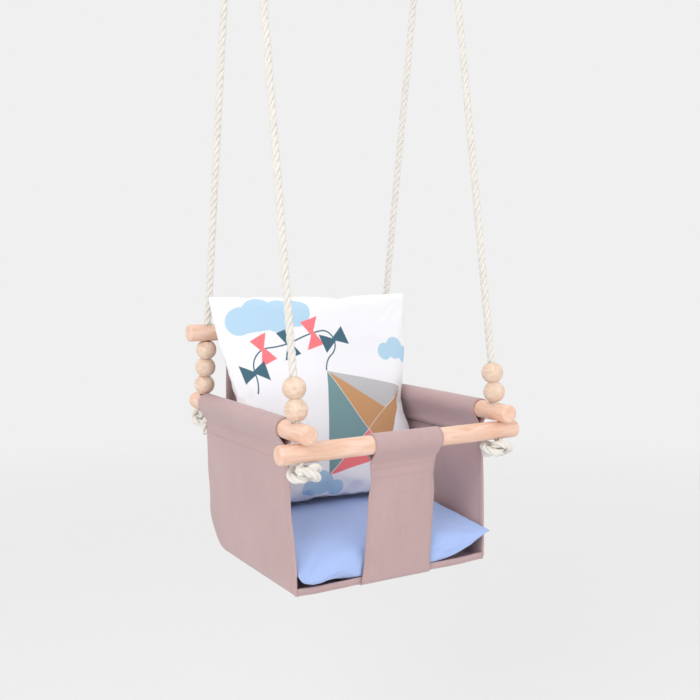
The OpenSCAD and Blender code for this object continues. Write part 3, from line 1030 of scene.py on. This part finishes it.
def seat_cushion():
    """The bag on the seat, inside the panels: its rim rises at the sides and dips at the front,
    its front left corner is tucked down, and the strap holds it back."""
    points, faces, flat = cushion_bag("seat bag", 0.312, 0.292, 0.064, 0.6)
    strap_half, strap_slope, clear = 0.060, 0.1163, 0.0030
    placed = []
    for u, v, w in points:
        a, b = u / 0.150, v / 0.141
        y = 0.006 + v
        rim = -1.1885 + 0.015 * min(abs(a), 1.1) ** 4
        if b < 0:
            rim -= 0.014 * min(-b, 1.1) ** 3 * (1 - 0.6 * min(1.0, abs(a)) ** 3)
        else:
            rim += 0.006 * b**3
        z = rim + w
        if a < -0.55 and b < -0.6:
            tuck = smooth((-a - 0.55) / 0.45) * smooth((-b - 0.6) / 0.4)
            u += 0.004 * tuck
            y += 0.001 * tuck
            z -= 0.022 * tuck
        z = max(z, SEAT_Z + 0.0034)
        if y > PANEL_FRONT + 0.002:
            limit = panel_x(z) - 0.0042
        else:
            limit = 0.156
        x = math.copysign(min(abs(u), limit), u)
        y = min(y, cushion_rear_limit(z))
        if abs(x) < strap_half:
            behind = PANEL_FRONT - strap_slope * (z - SEAT_Z) + clear
            y = max(y, mix(y, behind, smooth((strap_half - abs(x)) / 0.010)))
        placed.append((x, y, z))
    obj = cushion_object("seat_cushion", placed, faces, flat, [BLUE])
    on_seat(obj, ["seat_cushion_cover", "seat_cushion_fill"])


def cushion_rear_limit(z):
    """How far back the seat cushion may reach inside the rounded lower corner."""
    low = SEAT_Z + CORNER_R
    r = CORNER_R - 0.0040
    if z > low:
        return PANEL_REAR - 0.0045
    return PANEL_REAR - CORNER_R + math.sqrt(max(0.0, r * r - (low - z) ** 2))


BACK_TILT = math.radians(12)
BACK_YAW = math.radians(4)
BACK_TOP = Vector((0, 0.109, -0.850))
BACK_LENGTH = 0.310


def back_width_share(down):
    """The back cushion narrows towards the armrests and is freer again below them."""
    pressed = 1.0 - 0.138 * min(max(down, 0.0) / 0.148, 1.0) ** 1.5
    return pressed + 0.035 * smooth((down - 0.185) / 0.045)


def back_cushion():
    points, faces, flat = cushion_bag("back bag", 0.338, 0.321, 0.056, 0.25)
    up = Vector((0, math.sin(BACK_TILT), math.cos(BACK_TILT)))
    front = Vector((0, -math.cos(BACK_TILT), math.sin(BACK_TILT)))
    turn = Matrix.Rotation(-BACK_YAW, 3, "Z")
    placed = []
    for u, v, w in points:
        down = BACK_LENGTH / 2 - v
        w *= 1 + 0.25 * smooth((down - 0.085) / 0.065)
        p = front * w - up * down
        sideways = turn @ Vector((u * back_width_share(down), p.y, 0))
        placed.append(BACK_TOP + sideways + Vector((0, 0, p.z)))
    obj = cushion_object("back_cushion", placed, faces, flat, [PRINT, WHITE])
    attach(obj, "back_cushion")
    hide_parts("back_cushion_cover", "back_cushion_fill")


# ---- the back cushion's print ----


class Print:
    """Flat printed shapes on white cotton; a shape is a distance, negative inside."""

    def __init__(self, name, ground):
        self.s = Shader(name)
        self.uv = self.s.uv
        self.colour = ground
        self.soft = 0.0004

    def circle(self, x, y, r):
        d = self.s.node("ShaderNodeVectorMath", {0: self.uv, 1: (x, y, 0)}, "Value",
                        operation="DISTANCE")
        return self.s.math("SUBTRACT", d, r)

    def beyond(self, x, y, angle):
        """The half plane through (x, y) that ends towards the angle."""
        normal = (math.cos(angle), math.sin(angle), 0)
        d = self.s.node("ShaderNodeVectorMath", {0: self.uv, 1: normal}, "Value",
                        operation="DOT_PRODUCT")
        return self.s.math("SUBTRACT", d, normal[0] * x + normal[1] * y)

    def join(self, shapes, operation):
        out = shapes[0]
        for shape in shapes[1:]:
            out = self.s.math(operation, out, shape)
        return out

    def polygon(self, corners, rounding=0.0):
        """A convex outline whose corners run anticlockwise."""
        edges = [self.beyond(*a, math.atan2(a[0] - b[0], b[1] - a[1]))
                 for a, b in zip(corners, corners[1:] + corners[:1])]
        return self.s.math("SUBTRACT", self.join(edges, "MAXIMUM"), rounding)

    def paint(self, shapes, colour):
        d = self.join(shapes, "MINIMUM")
        mask = self.s.remap(d, -self.soft, self.soft, 1.0, 0.0)
        self.colour = self.s.mix(mask, self.colour, colour)

    def arc(self, line_w, x, y, radius, start, end):
        """Part of a ring: angles from start to end, turning left if end is larger."""
        way = math.copysign(math.pi / 2, end - start)
        ring = self.s.math("ABSOLUTE", self.circle(x, y, radius))
        parts = [self.s.math("SUBTRACT", ring, line_w / 2), self.beyond(x, y, start - way),
                 self.beyond(x, y, end + way)]
        return self.join(parts, "MAXIMUM")


def turned(points, x, y, angle):
    c, s = math.cos(angle), math.sin(angle)
    return [(x + c * a - s * b, y + s * a + c * b) for a, b in points]


def kite_tail(p, start, heading, moves, bows_at):
    """Tangent arcs from the start; a move is a radius, positive to the left, and degrees of
    turn. Returns the arcs, and the place and heading of each bow on the line."""
    x, y = start
    heading = math.radians(heading)
    arcs, bows, done = [], [], 0.0
    for radius, degrees in moves:
        sign = math.copysign(1, radius)
        r, sweep = abs(radius), math.radians(degrees)
        cx, cy = x - sign * r * math.sin(heading), y + sign * r * math.cos(heading)
        first = heading - sign * math.pi / 2
        last = first + sign * sweep
        arcs.append(p.arc(0.0021, cx, cy, r, first, last))
        for at in bows_at:
            if done <= at < done + r * sweep:
                a = first + sign * (at - done) / r
                bows.append((cx + r * math.cos(a), cy + r * math.sin(a), a + math.pi / 2))
        done += r * sweep
        x, y = cx + r * math.cos(last), cy + r * math.sin(last)
        heading += sign * sweep
    return arcs, bows


def print_material():
    """Clouds, and a kite whose long tail carries small bows."""
    p = Print("kite print", srgb(238, 238, 242))
    sky, teal, coral = srgb(176, 208, 230), srgb(62, 102, 118), srgb(240, 122, 128)
    moss, ochre, grey = srgb(116, 150, 154), srgb(199, 150, 106), srgb(190, 190, 193)
    clouds = [(-0.126, 0.114, 0.022), (-0.098, 0.120, 0.026), (-0.066, 0.115, 0.025),
              (-0.036, 0.117, 0.021), (0.106, 0.058, 0.013), (0.126, 0.064, 0.017),
              (0.146, 0.056, 0.013), (-0.046, -0.130, 0.014), (-0.024, -0.121, 0.019),
              (0.000, -0.130, 0.014)]
    shapes = [p.circle(*cloud) for cloud in clouds]
    shapes.append(p.polygon([(-0.128, 0.0935), (-0.040, 0.0960), (-0.040, 0.116), (-0.128, 0.116)]))
    p.paint(shapes, sky)
    # The kite: four panels that meet where its spars cross, with the long tip up on the left.
    cross = (0.062, -0.052)
    tips = {"tail": (-0.001, 0.032), "right": (0.138, 0.005), "nose": (0.092, -0.092),
            "left": (-0.014, -0.109), "band": (0.098, -0.025)}
    panels = (("tail", "left", moss), ("right", "tail", grey), ("band", "tail", ochre),
              ("nose", "right", ochre), ("left", "nose", coral))
    for a, b, colour in panels:
        p.paint([p.polygon([tips[a], tips[b], cross], -0.0004)], colour)
    arcs, bows = kite_tail(
        p, tips["tail"], 85, [(-0.030, 50), (0.0185, 150), (0.140, 16), (-0.140, 20),
                              (0.030, 100), (-0.040, 40)],
        [0.050, 0.090, 0.131, 0.172, 0.212])
    p.paint(arcs, teal)
    lobe = [(0.0015, 0.0020), (-0.0125, -0.0195), (0.0115, -0.0185)]
    other = [(-a, -b) for a, b in lobe]
    for tone, mine in ((coral, bows[1::2]), (teal, bows[::2])):
        shapes = [p.polygon(turned(part, x, y, angle), 0.0012)
                  for x, y, angle in mine for part in (lobe, other)]
        p.paint(shapes, tone)
    s = p.s
    weave = s.noise(s.scaled(s.uv, (1500, 1500, 1)), 1.0, 2.0)
    s.set(Base_Color=p.colour, Roughness=0.82, Sheen_Weight=0.15, Sheen_Roughness=0.4)
    s.bump(weave, 0.00006, 0.5)
    return s.material


PRINT = print_material()
seat_cushion()
back_cushion()
